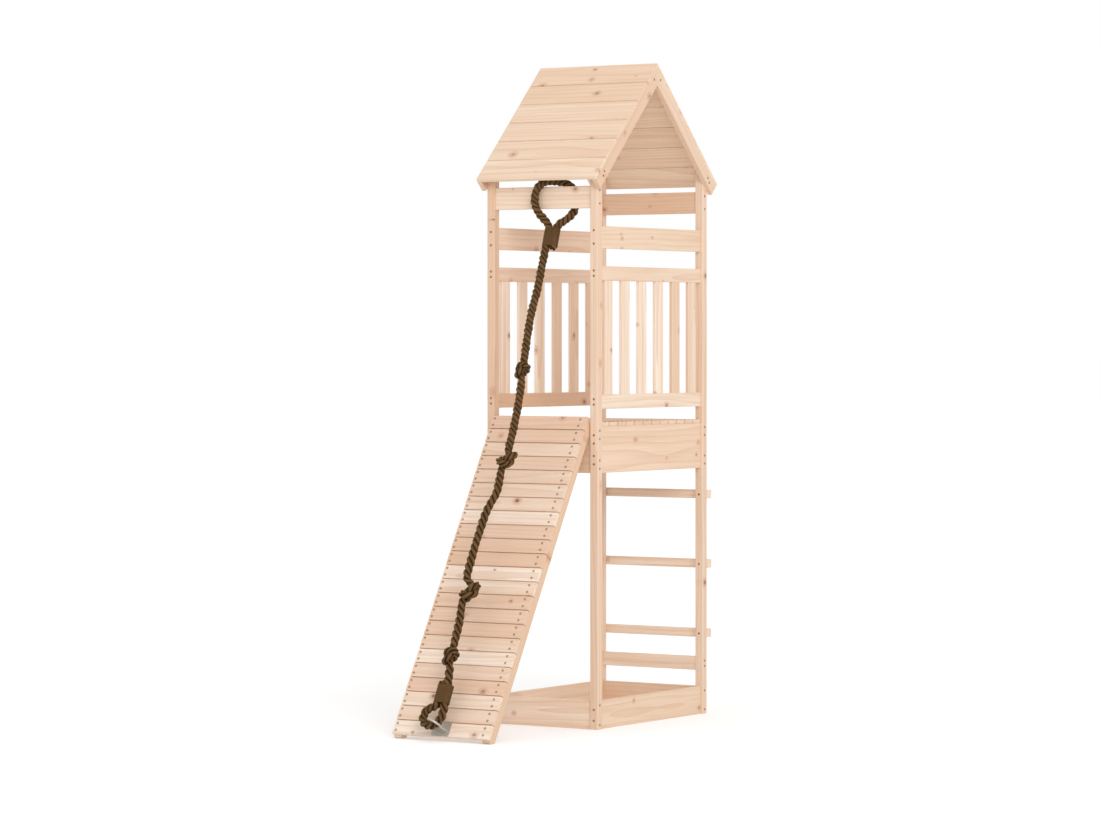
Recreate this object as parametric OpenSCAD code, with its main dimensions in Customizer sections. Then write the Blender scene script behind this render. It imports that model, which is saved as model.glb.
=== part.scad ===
// Wooden climbing frame: a slim pine tower with a gable roof, a railed platform, a rung
// ladder at the back and a slatted climbing ramp at the front, with a knotted rope that
// runs from the front top board down to an eye plate at the foot of the ramp.
// Front is -Y (the ramp), right is +X (a gable end), the floor is Z = 0.

/* [Tower] */
// Width of the tower over the outer faces of its posts
tower_w = 416; // [380:2:520]
// Depth of the tower over the outer faces of its posts
tower_d = 668; // [600:2:760]
// Side of a square corner post
post_s = 28; // [26:1:36]
// Radius of the eased long edges of the timber
edge_r = 2; // [1:0.5:3]

/* [Boards] */
// Thickness of the boards that run between the posts
board_t = 14; // [10:1:18]
// Height of the front and rear top boards
top_board_h = 70; // [50:1:80]
// Distance from the posts' tops down to the front and rear top boards
top_board_drop = 77; // [60:1:100]
// Height of the upper side boards
upper_board_h = 70; // [50:1:90]
// Gap between a railing and the upper side board over it
upper_gap = 56; // [40:1:80]
// Distance from the upper side boards up to the posts' tops
gable_gap = 203; // [180:1:240]
// Height of the boards that close the foot of the tower
bottom_board_h = 90; // [70:1:110]
// Height of the low board under the ladder
lower_board_h = 45; // [40:1:60]
// Gap between the rear bottom board and the low board over it
lower_gap = 52; // [40:1:60]

/* [Railings] */
// Height of a railing rail
rail_h = 45; // [40:1:60]
// Gap between the deck and a railing
railing_lift = 42; // [30:1:60]
// Height of a railing over both of its rails
railing_h = 448; // [400:1:470]
// Slats in a railing
rail_slats = 6; // [4:1:7]
// Width of a railing slat
rail_slat_w = 46; // [36:1:56]
// Thickness of a railing slat
rail_slat_t = 12; // [8:1:14]

/* [Platform] */
// Floor to the top of the deck
platform_z = 962; // [900:1:1000]
// Height of the platform skirt boards
skirt_h = 147; // [130:1:160]
// Boards in the deck
deck_boards_n = 12; // [8:1:13]
// Gap between two deck boards
deck_gap = 5; // [2:1:10]
// Thickness of a deck board
deck_t = 12; // [10:1:18]

/* [Ladder] */
// Rungs on the back of the tower
rungs = 3; // [2:1:3]
// Side of a square rung
rung_s = 28; // [24:1:34]
// Floor to the underside of the lowest rung
rung_z = 248; // [235:1:260]
// Height from one rung to the next
rung_pitch = 227; // [180:1:240]

/* [Roof] */
// Slope of the roof, in degrees
roof_angle = 45; // [38:1:50]
// Distance of an eave past the posts' outer faces
eave_overhang = 41; // [30:1:60]
// Boards on a roof slope
roof_boards_n = 6; // [4:1:7]
// Thickness of a roof board
roof_t = 12; // [10:1:16]
// Gap between two roof boards
roof_gap = 1.5; // [0.5:0.5:4]
// Depth of a rafter under the roof boards
rafter_h = 38; // [30:1:46]
// Thickness of a rafter
rafter_t = 15; // [12:1:20]

/* [Ramp] */
// Slope of the ramp, in degrees from the floor
ramp_angle = 60; // [56:1:62]
// Height of the uppermost slat's top edge over the deck
ramp_rise = 19; // [10:1:26]
// Distance of that edge before the front faces of the posts
ramp_lead = 11; // [8:1:14]
// Floor to the bottom edge of the lowest slat
ramp_foot_gap = 17; // [12:1:30]
// Slats on the ramp
ramp_slats_n = 23; // [18:1:24]
// Gap between two ramp slats
ramp_slat_gap = 2.5; // [1:0.5:2.5]
// Thickness of a ramp slat
ramp_slat_t = 12; // [10:1:14]
// Side of a square ramp stringer
stringer_s = 28; // [26:1:32]
// Gap between the ramp and the posts beside it
ramp_side_gap = 3; // [1:0.5:6]
// Radius of the rounded toe of a stringer
toe_r = 9; // [4:1:12]

/* [Rope] */
// Diameter of the climbing rope
rope_d = 24; // [18:1:26]
// Diameter of a knot over the rope
knot_d = 52; // [40:1:60]
// Length of a knot along the rope
knot_l = 56; // [40:1:64]
// Width of a rope sleeve
sleeve_w = 54; // [50:1:64]
// Thickness of a rope sleeve
sleeve_t = 29; // [27:1:36]
// Length of a rope sleeve
sleeve_l = 60; // [50:1:62]

/* [Anchor] */
// Width of the eye plate across the ramp
plate_w = 64; // [56:1:80]
// Height of the eye plate along the ramp
plate_h = 46; // [44:1:48]
// Thickness of the eye plate
plate_t = 3; // [2:0.5:5]
// Corner radius of the eye plate
plate_r = 5; // [2:1:8]
// Diameter of the bow's round bar
bow_d = 7; // [5:0.5:8]
// Height of the bow's bend over the plate, to the middle of its bar
bow_h = 68; // [66:1:76]
// Distance between the middles of the bow's legs
bow_span = 44; // [42:0.5:46]
// Turn of the bow on its plate, in degrees from straight across the ramp
bow_turn = 18; // [14:1:22]

/* [Screws] */
// Diameter of a wood screw's head
head_d = 7.5; // [6:0.5:9]
// Height of a screw's countersunk head
head_h = 3; // [2:0.5:4]
// Diameter of a screw's shank
shank_d = 4; // [3:0.5:5]
// Length of a screw that holds a board between posts
frame_screw_l = 60; // [50:1:80]
// Length of a screw that holds a rung or a rafter
short_screw_l = 40; // [38:1:42]
// Length of a screw that holds the ramp
ramp_screw_l = 34; // [24:1:36]
// Length of a screw that holds the eye plate
anchor_screw_l = 12; // [8:0.5:13]
// Clearance round a screw in its hole
screw_gap = 0.2; // [0.1:0.05:0.4]
// Distance of a board's screws from the board's edges
screw_edge = 14; // [12:1:16]
// The same on a side skirt or side bottom board, whose screws pass between the front board's
side_screw_edge = 28; // [27:1:30]
// Distance between the two screws of a skirt's pair
skirt_screw_step = 26; // [24:1:28]

/* [Hidden] */
// How far a cutter runs past the face that it cuts
overrun = 1;
// Faces on round pieces
$fn = 48;
// Sides of the rope's tube
rope_sides = 10;

post_cx = (tower_w - post_s) / 2;
post_cy = (tower_d - post_s) / 2;
clear_w = tower_w - 2 * post_s;
clear_d = tower_d - 2 * post_s;
lower_board_z = bottom_board_h + lower_gap;
skirt_top = platform_z - deck_t;
skirt_z = skirt_top - skirt_h;
railing_z = platform_z + railing_lift;
upper_board_z = railing_z + railing_h + upper_gap;
// Height of a post at its inner, taller edge
post_h = upper_board_z + upper_board_h + gable_gap;
top_board_z = post_h - top_board_drop - top_board_h;
deck_pitch = clear_d / deck_boards_n;
deck_l = 2 * post_cx + board_t;
rail_slat_l = railing_h - 2 * rail_h;
rail_bay = clear_d / rail_slats;

roof_x = tower_w / 2 + rafter_t;
eave_y = tower_d / 2 + eave_overhang;
roof_slope_l = eave_y / cos(roof_angle);
roof_pitch = roof_slope_l / roof_boards_n;
// Gap between a post's bevelled top and the roof boards over it
post_top_gap = 1;
post_bevel_h = (tower_d / 2 - post_s) * tan(roof_angle);
ridge_z = post_h + post_bevel_h + (roof_t + post_top_gap) / cos(roof_angle);

ramp_w = clear_w - 2 * ramp_side_gap;
ramp_top_z = platform_z + ramp_rise;
ramp_l = (ramp_top_z - ramp_foot_gap) / sin(ramp_angle);
ramp_pitch = (ramp_l + ramp_slat_gap) / ramp_slats_n;
ramp_slat_w = ramp_pitch - ramp_slat_gap;
ramp_top_y = -tower_d / 2 - ramp_lead;
skirt_face_y = -post_cy - board_t / 2;
stringer_x = (ramp_w - stringer_s) / 2;
// The stringers' heads bear on the front skirt from this height up, and screws hold them there
head_back_y = ramp_top_y + (ramp_slat_t + stringer_s) / sin(ramp_angle);
head_foot_z = ramp_top_z - (head_back_y - skirt_face_y) * tan(ramp_angle);
ramp_screw_z = (head_foot_z + skirt_top) / 2;

// Distance down the ramp, from its top edge, to the middle of the eye plate
plate_along = ramp_l - ramp_slat_w / 2;
// Distance of the eye plate's screws from its edges
plate_screw_edge = 7;
bow_bend_r = bow_span / 2;

// The origin lies on the floor, midway between the eased rear eave and the bow's foremost point
rear_y = eave_y - edge_r * sin(roof_angle);
bow_bend_reach = bow_bend_r * norm([sin(bow_turn) * cos(ramp_angle), sin(ramp_angle)]);
bow_reach = (bow_h - bow_bend_r) * sin(ramp_angle) + bow_bend_reach + bow_d / 2;
front_y = ramp_top_y - plate_along * cos(ramp_angle) - bow_reach;
middle_y = (rear_y + front_y) / 2;

pine = "#E9CBAC";
pine_shade = "#DDB894";
rope_brown = "#4B3A20";
sleeve_brown = "#60462D";
zinc = "#B8BAB8";

// Route of the main rope from the top sleeve to the bottom sleeve, from the tower's axis
rope_route = [
    [20, -342, 1514], [18, -364, 1446], [20, -390, 1380], [16, -417, 1310], [19, -444, 1240],
    [24, -469, 1170], [28, -484, 1130], [32, -499, 1090], [35, -525, 1010], [31, -549, 930],
    [28, -567, 880], [19, -576, 852], [15, -587, 820], [10, -612, 750], [-6, -645, 680],
    [-11, -680, 610], [-13, -714, 540], [-13, -738, 490], [-10, -753, 456], [-5, -770, 420],
    [2, -798, 360], [5, -828, 300], [7, -845, 262], [9, -861, 222], [14, -878, 170.2]
];
// Points of the route that carry a knot
rope_knots = [6, 11, 18, 22];

// Route of the eye over the front top board, from the sleeve and back to it
top_eye_route = [
    [21, -322, 1572], [16, -326, 1588], [5, -333, 1604], [-8, -341, 1622], [-18, -344, 1644],
    [-20, -344, 1668], [-15, -343, 1690], [-5, -340, 1708], [12, -332, 1719], [38, -320, 1720],
    [62, -310.6, 1717.5], [84, -300.6, 1707.5], [98, -296, 1690], [103, -295, 1668], [103, -296, 1645],
    [97, -299, 1624], [84, -305, 1607], [68, -313, 1594], [54, -319, 1584], [47, -322, 1572]
];

// Route of the eye in the bow, from the bottom sleeve and back to it
bottom_eye_route = [
    [-5, -904.6, 115.4], [-7.5, -908.7, 105.6], [-17, -910.3, 97.9], [-30.5, -910.6, 93.4], [-42, -912.9, 85.4],
    [-47, -917.7, 75], [-45.5, -923.1, 63.7], [-38.5, -928, 55.3], [-27, -930.8, 50.3], [-13.5, -931.3, 49.5],
    [0, -928.7, 54], [10.5, -923.4, 63.2], [17, -917.4, 76.5], [20, -912.3, 91.5], [21, -907.9, 105.1],
    [21, -904.6, 115.4]
];

// Middle of each sleeve, from the tower's axis, and its lean from upright along the rope
top_sleeve_at = [34, -332, 1543];
top_sleeve_lean = 18;
bottom_sleeve_at = [8, -891.3, 142.8];
bottom_sleeve_lean = 26;

// A rectangle with eased corners
module eased(a, b) {
    square([a - 2 * edge_r, b], center = true);
    square([a, b - 2 * edge_r], center = true);
    for (u = [-1, 1], v = [-1, 1])
        translate([u * (a / 2 - edge_r), v * (b / 2 - edge_r)])
            circle(edge_r);
}

// Timber along X: length, thickness in Y, height in Z
module timber_x(l, t, h) {
    rotate([90, 0, 90])
        linear_extrude(l, center = true)
            eased(t, h);
}

// Timber along Y: length, thickness in X, height in Z
module timber_y(l, t, h) {
    rotate([90, 0, 0])
        linear_extrude(l, center = true)
            eased(t, h);
}

// Everything is drawn about the tower's axis and then set on the part's own origin
module placed() {
    translate([0, -middle_y, 0])
        children();
}

// A countersunk screw that points down from the face at Z = 0
module screw(l) {
    rotate_extrude()
        polygon([[0, 0], [head_d / 2, 0], [shank_d / 2, -head_h], [shank_d / 2, -l], [0, -l]]);
}

// The hole that takes such a screw
module screw_hole(l) {
    translate([0, 0, -head_h])
        cylinder(h = head_h, d1 = shank_d + 2 * screw_gap, d2 = head_d + 2 * screw_gap);
    cylinder(h = overrun, d = head_d + 2 * screw_gap);
    translate([0, 0, -l - screw_gap])
        cylinder(h = l, d = shank_d + 2 * screw_gap);
}

// Heights of the two screws at a board's end, or of the four at a skirt's
function pair_heights(z, h, edge) = [z + edge, z + h - edge];
function skirt_heights(z, h, edge) =
    concat(pair_heights(z, h, edge), pair_heights(z, h, edge + skirt_screw_step));

// Screw heights of the boards along X at the front (-1) or the rear (1)
function cross_heights(side) = concat(
    pair_heights(top_board_z, top_board_h, screw_edge),
    skirt_heights(skirt_z, skirt_h, screw_edge),
    pair_heights(0, bottom_board_h, screw_edge),
    side > 0 ? pair_heights(lower_board_z, lower_board_h, screw_edge) : []
);

// Screw heights of the boards along Y, which are alike on both sides
function side_heights() = concat(
    pair_heights(upper_board_z, upper_board_h, screw_edge),
    pair_heights(railing_z + railing_h - rail_h, rail_h, screw_edge),
    pair_heights(railing_z, rail_h, screw_edge),
    skirt_heights(skirt_z, skirt_h, side_screw_edge),
    pair_heights(0, bottom_board_h, side_screw_edge)
);

// Children at the given heights on the right (1) or left (-1) face of a post, heads outwards
module on_side_face(xs, ys, heights) {
    for (z = heights)
        translate([xs * tower_w / 2, ys * post_cy, z])
            rotate([0, xs * 90, 0])
                children();
}

// Children at the given heights on the front (-1) or rear (1) face of a post, heads outwards
module on_end_face(xs, ys, heights) {
    for (z = heights)
        translate([xs * post_cx, ys * tower_d / 2, z])
            rotate([-ys * 90, 0, 0])
                children();
}

// Rung screws are driven from a rear post's inner face into the rung behind it
module at_rung_screws(xs) {
    for (i = [0:rungs - 1])
        translate([xs * post_cx, tower_d / 2 - post_s, rung_z + i * rung_pitch + rung_s / 2])
            rotate([90, 0, 0])
                children();
}

// Rafter screws are driven from a rafter's outer face into a post, one above the other
module at_rafter_screws(xs, ys) {
    seat_z = ridge_z - post_cy * tan(roof_angle) - (roof_t + rafter_h / 2) / cos(roof_angle);
    for (side = [-1, 1])
        translate([xs * roof_x, ys * (post_cy + side * head_d / 2), seat_z - side * head_d])
            rotate([0, xs * 90, 0])
                children();
}

module post(xs, ys) {
    difference() {
        translate([xs * post_cx, ys * post_cy, 0])
            linear_extrude(post_h + overrun)
                eased(post_s, post_s);
        // The top is cut to the slope of the roof boards
        translate([0, 0, ridge_z - (roof_t + post_top_gap) / cos(roof_angle)])
            rotate([-ys * roof_angle, 0, 0])
                translate([-tower_w, -tower_d, 0])
                    cube([2 * tower_w, 2 * tower_d, tower_d]);
        on_side_face(xs, ys, cross_heights(ys))
            screw_hole(frame_screw_l);
        on_end_face(xs, ys, side_heights())
            screw_hole(frame_screw_l);
        at_rafter_screws(xs, ys)
            screw_hole(short_screw_l);
        if (ys > 0)
            at_rung_screws(xs)
                screw_hole(short_screw_l);
    }
}

module front_right_post() { color(pine) post(1, -1); }
module front_left_post() { color(pine) post(-1, -1); }
module rear_right_post() { color(pine) post(1, 1); }
module rear_left_post() { color(pine) post(-1, 1); }

// A board between two posts at the front or the rear
module cross_board(ys, z, h, heights) {
    difference() {
        translate([0, ys * post_cy, z + h / 2])
            timber_x(clear_w, board_t, h);
        for (xs = [-1, 1])
            on_side_face(xs, ys, heights)
                screw_hole(frame_screw_l);
    }
}

// A board between two posts at the right or the left side
module side_board(xs, z, h, heights) {
    difference() {
        translate([xs * post_cx, 0, z + h / 2])
            timber_y(clear_d, board_t, h);
        for (ys = [-1, 1])
            on_end_face(xs, ys, heights)
                screw_hole(frame_screw_l);
    }
}

module cross_pair_board(ys, z, h) {
    cross_board(ys, z, h, pair_heights(z, h, screw_edge));
}

module side_pair_board(xs, z, h) {
    side_board(xs, z, h, pair_heights(z, h, screw_edge));
}

module side_bottom_board(xs) {
    side_board(xs, 0, bottom_board_h, pair_heights(0, bottom_board_h, side_screw_edge));
}

module front_top_board() { color(pine) cross_pair_board(-1, top_board_z, top_board_h); }
module rear_top_board() { color(pine) cross_pair_board(1, top_board_z, top_board_h); }
module right_upper_board() { color(pine) side_pair_board(1, upper_board_z, upper_board_h); }
module left_upper_board() { color(pine) side_pair_board(-1, upper_board_z, upper_board_h); }
module front_bottom_board() { color(pine_shade) cross_pair_board(-1, 0, bottom_board_h); }
module rear_bottom_board() { color(pine_shade) cross_pair_board(1, 0, bottom_board_h); }
module right_bottom_board() { color(pine_shade) side_bottom_board(1); }
module left_bottom_board() { color(pine_shade) side_bottom_board(-1); }
module rear_lower_board() { color(pine) cross_pair_board(1, lower_board_z, lower_board_h); }

// The front skirt also takes the screws that hold the ramp
module front_skirt() {
    color(pine_shade)
        difference() {
            cross_board(-1, skirt_z, skirt_h, skirt_heights(skirt_z, skirt_h, screw_edge));
            at_ramp_screws()
                screw_hole(ramp_screw_l);
        }
}

module rear_skirt() {
    color(pine_shade)
        cross_board(1, skirt_z, skirt_h, skirt_heights(skirt_z, skirt_h, screw_edge));
}

module side_skirt(xs) {
    side_board(xs, skirt_z, skirt_h, skirt_heights(skirt_z, skirt_h, side_screw_edge));
}

module right_skirt() { color(pine) side_skirt(1); }
module left_skirt() { color(pine) side_skirt(-1); }

module top_rail(xs) { side_pair_board(xs, railing_z + railing_h - rail_h, rail_h); }
module bottom_rail(xs) { side_pair_board(xs, railing_z, rail_h); }
module right_top_rail() { color(pine) top_rail(1); }
module right_bottom_rail() { color(pine) bottom_rail(1); }
module left_top_rail() { color(pine) top_rail(-1); }
module left_bottom_rail() { color(pine) bottom_rail(-1); }

// Upright slats, one in the middle of each bay, between the two rails
module railing_slats(xs) {
    for (i = [0:rail_slats - 1])
        translate([xs * post_cx, (i + 1 / 2) * rail_bay - clear_d / 2, railing_z + rail_h])
            linear_extrude(rail_slat_l)
                eased(rail_slat_t, rail_slat_w);
}

module right_railing_slats() { color(pine) railing_slats(1); }
module left_railing_slats() { color(pine) railing_slats(-1); }

// Deck boards lie across the tower on the side skirts, with their ends flush to the skirts
module deck_boards() {
    color(pine)
        for (i = [0:deck_boards_n - 1])
            translate([0, (i + 1 / 2) * deck_pitch - clear_d / 2, skirt_top + deck_t / 2])
                timber_x(deck_l, deck_pitch - deck_gap, deck_t);
}

// A square rung across the back of the rear posts
module rung(i) {
    color(pine)
        difference() {
            translate([0, (tower_d + rung_s) / 2, rung_z + i * rung_pitch + rung_s / 2])
                timber_x(tower_w, rung_s, rung_s);
            for (xs = [-1, 1])
                at_rung_screws(xs)
                    screw_hole(short_screw_l);
        }
}

// A point of the roof's section: s down the slope from the ridge, d under its top face
function roof_point(s, d) = [
    s * cos(roof_angle) - d * sin(roof_angle),
    ridge_z - s * sin(roof_angle) - d * cos(roof_angle)
];

// A rafter's section under the roof boards: cut plumb at the ridge and square at the eave
function rafter_section() = [
    roof_point(roof_t * tan(roof_angle), roof_t),
    roof_point(roof_slope_l, roof_t),
    roof_point(roof_slope_l, roof_t + rafter_h),
    roof_point((roof_t + rafter_h) * tan(roof_angle), roof_t + rafter_h)
];

// The lower edge of a roof board: the last one ends at the eave, the others leave a gap
function roof_board_foot(i) = (i + 1) * roof_pitch - (i < roof_boards_n - 1 ? roof_gap : 0);

// A roof board's section, with its two upper edges eased where they don't meet at the ridge
function roof_board_section(s0, s1) = concat(
    s0 > 0 ? [roof_point(s0, edge_r), roof_point(s0 + edge_r, 0)] : [roof_point(0, 0)],
    [roof_point(s1 - edge_r, 0), roof_point(s1, edge_r), roof_point(s1, roof_t)],
    [roof_point(s0 > 0 ? s0 : roof_t * tan(roof_angle), roof_t)]
);

// A roof section drawn out along X on the front (-1) or rear (1) slope
module roof_strip(ys, x0, x1, section) {
    translate([x0, 0, 0])
        mirror([0, ys > 0 ? 0 : 1, 0])
            rotate([90, 0, 90])
                linear_extrude(x1 - x0)
                    polygon(section);
}

module rafter(xs, ys) {
    color(pine)
        difference() {
            roof_strip(ys, min(xs * tower_w / 2, xs * roof_x), max(xs * tower_w / 2, xs * roof_x),
                rafter_section());
            at_rafter_screws(xs, ys)
                screw_hole(short_screw_l);
        }
}

module right_front_rafter() { rafter(1, -1); }
module right_rear_rafter() { rafter(1, 1); }
module left_front_rafter() { rafter(-1, -1); }
module left_rear_rafter() { rafter(-1, 1); }

// Roof boards are counted from the ridge down
module roof_board(ys, i) {
    color(pine)
        roof_strip(ys, -roof_x, roof_x,
            roof_board_section(i * roof_pitch, roof_board_foot(i)));
}

// The ramp's own frame: X across, Y up the slope from its top edge, Z out of its face
module on_ramp() {
    translate([0, ramp_top_y, ramp_top_z])
        rotate([ramp_angle, 0, 0])
            children();
}

// Screws from behind the front skirt into the flat-cut heads of the stringers
module at_ramp_screws() {
    for (xs = [-1, 1])
        translate([xs * stringer_x, skirt_face_y + board_t, ramp_screw_z])
            rotate([-90, 0, 0])
                children();
}

// A stringer's side view: cut level at the deck and the floor, plumb at the skirt, with a round toe
module stringer_section() {
    reach = ramp_l + ramp_top_z;
    toe = [ramp_top_y - ramp_top_z / tan(ramp_angle) + ramp_slat_t / sin(ramp_angle), 0];
    tangent_l = toe_r / tan(ramp_angle / 2);
    difference() {
        intersection() {
            translate([ramp_top_y, ramp_top_z])
                rotate(ramp_angle)
                    translate([-reach, -ramp_slat_t - stringer_s])
                        square([2 * reach, stringer_s]);
            translate([skirt_face_y - reach, 0])
                square([reach, platform_z]);
        }
        difference() {
            polygon([
                toe - [overrun, overrun],
                toe + [tangent_l, 0],
                toe + tangent_l * [cos(ramp_angle), sin(ramp_angle)]
            ]);
            translate(toe + [tangent_l, toe_r])
                circle(toe_r);
        }
    }
}

module ramp_stringer(xs) {
    color(pine)
        difference() {
            translate([xs * stringer_x - stringer_s / 2, 0, 0])
                rotate([90, 0, 90])
                    linear_extrude(stringer_s)
                        stringer_section();
            at_ramp_screws()
                screw_hole(ramp_screw_l);
        }
}

module ramp_right_stringer() { ramp_stringer(1); }
module ramp_left_stringer() { ramp_stringer(-1); }

module ramp_slats() {
    color(pine)
        difference() {
            on_ramp()
                for (i = [0:ramp_slats_n - 1])
                    translate([0, -i * ramp_pitch - ramp_slat_w / 2, -ramp_slat_t / 2])
                        timber_x(ramp_w, ramp_slat_w, ramp_slat_t);
            at_anchor_screws()
                screw_hole(anchor_screw_l);
        }
}

// Vector helpers for the swept rope
function unit(v) = v / norm(v);
function route_way(p, i) = unit(p[i + 1] - p[i - 1]);
// The way up a sleeve that leans back from upright
function up_sleeve(lean) = [0, sin(lean), cos(lean)];
// A ring of the tube: the sides stand about the route on one across and one along direction
function ring(c, way, r) =
    let (u = unit(cross(way, [0, 1, 0])), v = cross(u, way))
    [for (k = [0:rope_sides - 1]) c + r * (cos(360 * k / rope_sides) * u + sin(360 * k / rope_sides) * v)];

// A tube along a route, with one radius for each point; its end rings face the given ways
module rope_tube(p, radii, first_way, last_way) {
    n = len(p);
    ways = [for (i = [0:n - 1]) i == 0 ? first_way : i == n - 1 ? last_way : route_way(p, i)];
    points = [for (i = [0:n - 1]) each ring(p[i], ways[i], radii[i])];
    sides = [
        for (i = [0:n - 2], k = [0:rope_sides - 1])
            let (a = i * rope_sides, b = a + rope_sides, m = (k + 1) % rope_sides)
            each [[a + k, b + k, b + m], [a + k, b + m, a + m]]
    ];
    caps = [
        [for (k = [0:rope_sides - 1]) k],
        [for (k = [0:rope_sides - 1]) n * rope_sides - 1 - k]
    ];
    polyhedron(points, concat(sides, caps));
}

// The main rope: at each knot the route gets a ring at both ends of the knot and a full middle
function knotted(p, i) =
    let (w = route_way(p, i), half = knot_l / 2)
    [[p[i] - half * w, rope_d], [p[i] - half / 2 * w, knot_d - rope_d / 4], [p[i], knot_d],
        [p[i] + half / 2 * w, knot_d - rope_d / 4], [p[i] + half * w, rope_d]];
function is_knot(i) = len(search(i, rope_knots)) > 0;
rope_rings = [
    for (i = [0:len(rope_route) - 1])
        each is_knot(i) ? knotted(rope_route, i) : [[rope_route[i], rope_d]]
];

module climbing_rope() {
    color(rope_brown)
        rope_tube([for (r = rope_rings) r[0]], [for (r = rope_rings) r[1] / 2],
            -up_sleeve(top_sleeve_lean), -up_sleeve(bottom_sleeve_lean));
}

module rope_top_eye() {
    color(rope_brown)
        rope_tube(top_eye_route, [for (q = top_eye_route) rope_d / 2],
            up_sleeve(top_sleeve_lean), -up_sleeve(top_sleeve_lean));
}

module rope_bottom_eye() {
    color(rope_brown)
        rope_tube(bottom_eye_route, [for (q = bottom_eye_route) rope_d / 2],
            -up_sleeve(bottom_sleeve_lean), up_sleeve(bottom_sleeve_lean));
}

// A flat round-sided sleeve that grips the two parts of the rope
module sleeve(at, lean) {
    r = sleeve_t / 2;
    color(sleeve_brown)
        translate(at)
            rotate([-lean, 0, 0])
                translate([0, 0, -sleeve_l / 2])
                    linear_extrude(sleeve_l) {
                        square([sleeve_w - sleeve_t, sleeve_t], center = true);
                        for (u = [-1, 1])
                            translate([u * (sleeve_w / 2 - r), 0])
                                circle(r);
                    }
}

module rope_top_sleeve() { sleeve(top_sleeve_at, top_sleeve_lean); }
module rope_bottom_sleeve() { sleeve(bottom_sleeve_at, bottom_sleeve_lean); }

// The eye plate's own frame, on the face of the ramp
module on_plate() {
    on_ramp()
        translate([0, -plate_along, 0])
            children();
}

module at_anchor_screws() {
    on_plate()
        for (u = [-1, 1], v = [-1, 1])
            translate([u * (plate_w / 2 - plate_screw_edge), v * (plate_h / 2 - plate_screw_edge), plate_t])
                children();
}

module anchor_plate() {
    color(zinc)
        difference() {
            on_plate()
                linear_extrude(plate_t) {
                    square([plate_w - 2 * plate_r, plate_h], center = true);
                    square([plate_w, plate_h - 2 * plate_r], center = true);
                    for (u = [-1, 1], v = [-1, 1])
                        translate([u * (plate_w / 2 - plate_r), v * (plate_h / 2 - plate_r)])
                            circle(plate_r);
                }
            at_anchor_screws()
                screw_hole(anchor_screw_l);
        }
}

// A bar bent to a bow: two legs that stand on the plate and a half turn over the rope
module anchor_bow() {
    leg_h = bow_h - bow_bend_r - plate_t;
    color(zinc)
        on_plate()
            rotate(-bow_turn)
                translate([0, 0, plate_t]) {
                    for (u = [-1, 1])
                        translate([u * bow_bend_r, 0, 0])
                            cylinder(h = leg_h, d = bow_d);
                    translate([0, 0, leg_h])
                        rotate([90, 0, 0])
                            rotate_extrude(angle = 180)
                                translate([bow_bend_r, 0])
                                    circle(d = bow_d);
                }
}

module anchor_screws() {
    color(zinc)
        at_anchor_screws()
            screw(anchor_screw_l);
}

module frame_screws() {
    color(zinc)
        for (xs = [-1, 1], ys = [-1, 1]) {
            on_side_face(xs, ys, cross_heights(ys))
                screw(frame_screw_l);
            on_end_face(xs, ys, side_heights())
                screw(frame_screw_l);
        }
}

module rung_screws() {
    color(zinc)
        for (xs = [-1, 1])
            at_rung_screws(xs)
                screw(short_screw_l);
}

module rafter_screws() {
    color(zinc)
        for (xs = [-1, 1], ys = [-1, 1])
            at_rafter_screws(xs, ys)
                screw(short_screw_l);
}

module ramp_screws() {
    color(zinc)
        at_ramp_screws()
            screw(ramp_screw_l);
}

placed() front_right_post();
placed() front_left_post();
placed() rear_right_post();
placed() rear_left_post();
placed() front_top_board();
placed() rear_top_board();
placed() right_upper_board();
placed() left_upper_board();
placed() right_top_rail();
placed() right_bottom_rail();
placed() left_top_rail();
placed() left_bottom_rail();
placed() right_railing_slats();
placed() left_railing_slats();
placed() front_skirt();
placed() rear_skirt();
placed() right_skirt();
placed() left_skirt();
placed() deck_boards();
placed() front_bottom_board();
placed() rear_bottom_board();
placed() right_bottom_board();
placed() left_bottom_board();
placed() rear_lower_board();
for (i = [1:rungs])
    placed() rung(i - 1);
placed() right_front_rafter();
placed() right_rear_rafter();
placed() left_front_rafter();
placed() left_rear_rafter();
for (i = [1:roof_boards_n]) {
    placed() roof_board(-1, i - 1);
    placed() roof_board(1, i - 1);
}
placed() ramp_right_stringer();
placed() ramp_left_stringer();
placed() ramp_slats();
placed() climbing_rope();
placed() rope_top_eye();
placed() rope_bottom_eye();
placed() rope_top_sleeve();
placed() rope_bottom_sleeve();
placed() anchor_plate();
placed() anchor_bow();
placed() anchor_screws();
placed() frame_screws();
placed() rung_screws();
placed() rafter_screws();
placed() ramp_screws();
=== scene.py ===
import math

import bmesh
import bpy
from mathutils import Euler, Matrix, Vector, geometry, kdtree


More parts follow.
